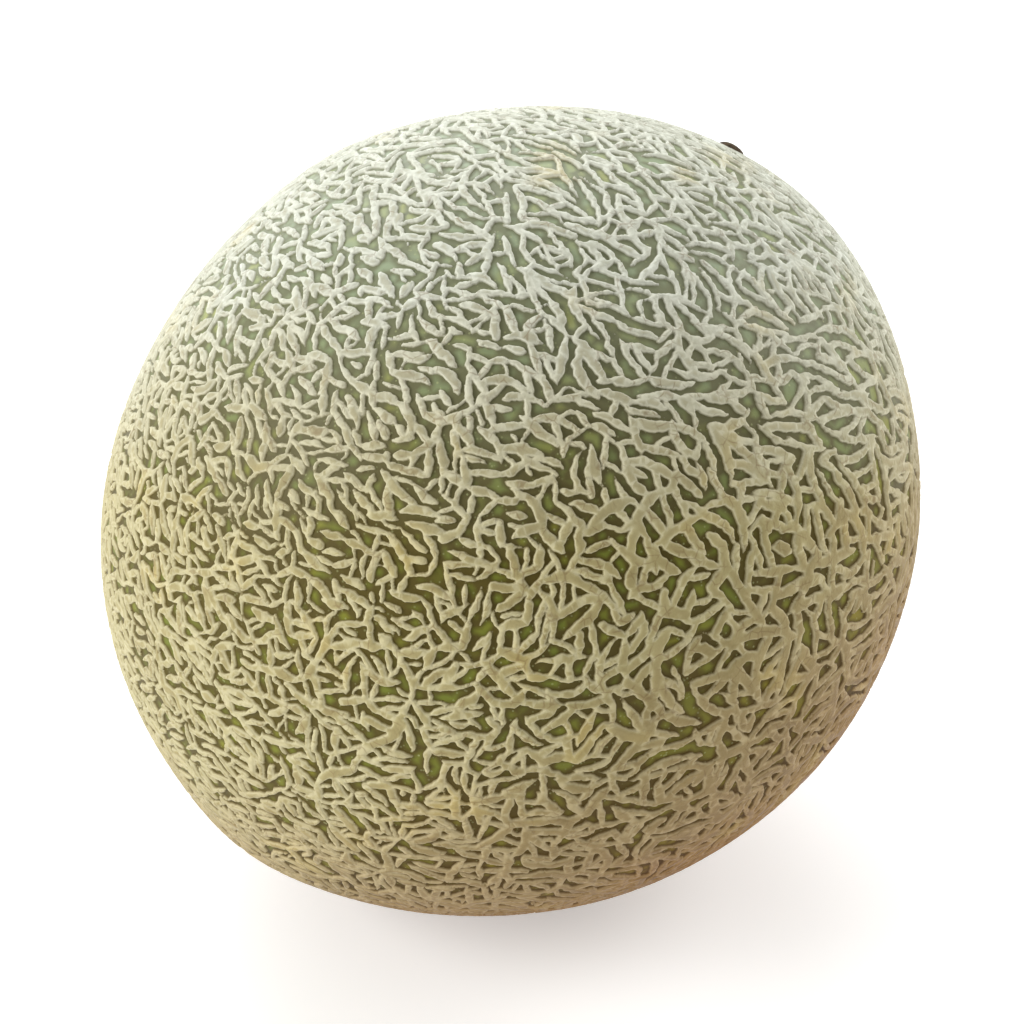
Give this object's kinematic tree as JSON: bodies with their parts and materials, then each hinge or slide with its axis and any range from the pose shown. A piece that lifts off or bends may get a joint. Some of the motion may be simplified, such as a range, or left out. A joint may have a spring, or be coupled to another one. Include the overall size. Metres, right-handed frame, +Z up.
{
  "type": "cantaloupe melon",
  "caption": "Whole netted cantaloupe melon, almost round, with a raised corky net over green skin, a dry flower button and a round stem scar, lying on a small flat spot.",
  "frame": {"origin": "middle of the small flat spot that the melon rests on", "axes": "+Z up, -Y towards the viewer's side, +X to the viewer's right; the flower end looks up, back and to the right, the stem end down, forward and to the left"},
  "size_m": [0.1527, 0.1487, 0.1481],
  "materials": {
    "rind": "tan-green netted rind, dull",
    "skin": "waxy sage to olive green skin, soft sheen",
    "net": "raised cream to tan cork, dry and finely rough",
    "scar": "dry brown fibre, matt"
  },
  "bodies": {
    "root": {"melon": "rind"}
  },
  "joints": []
}
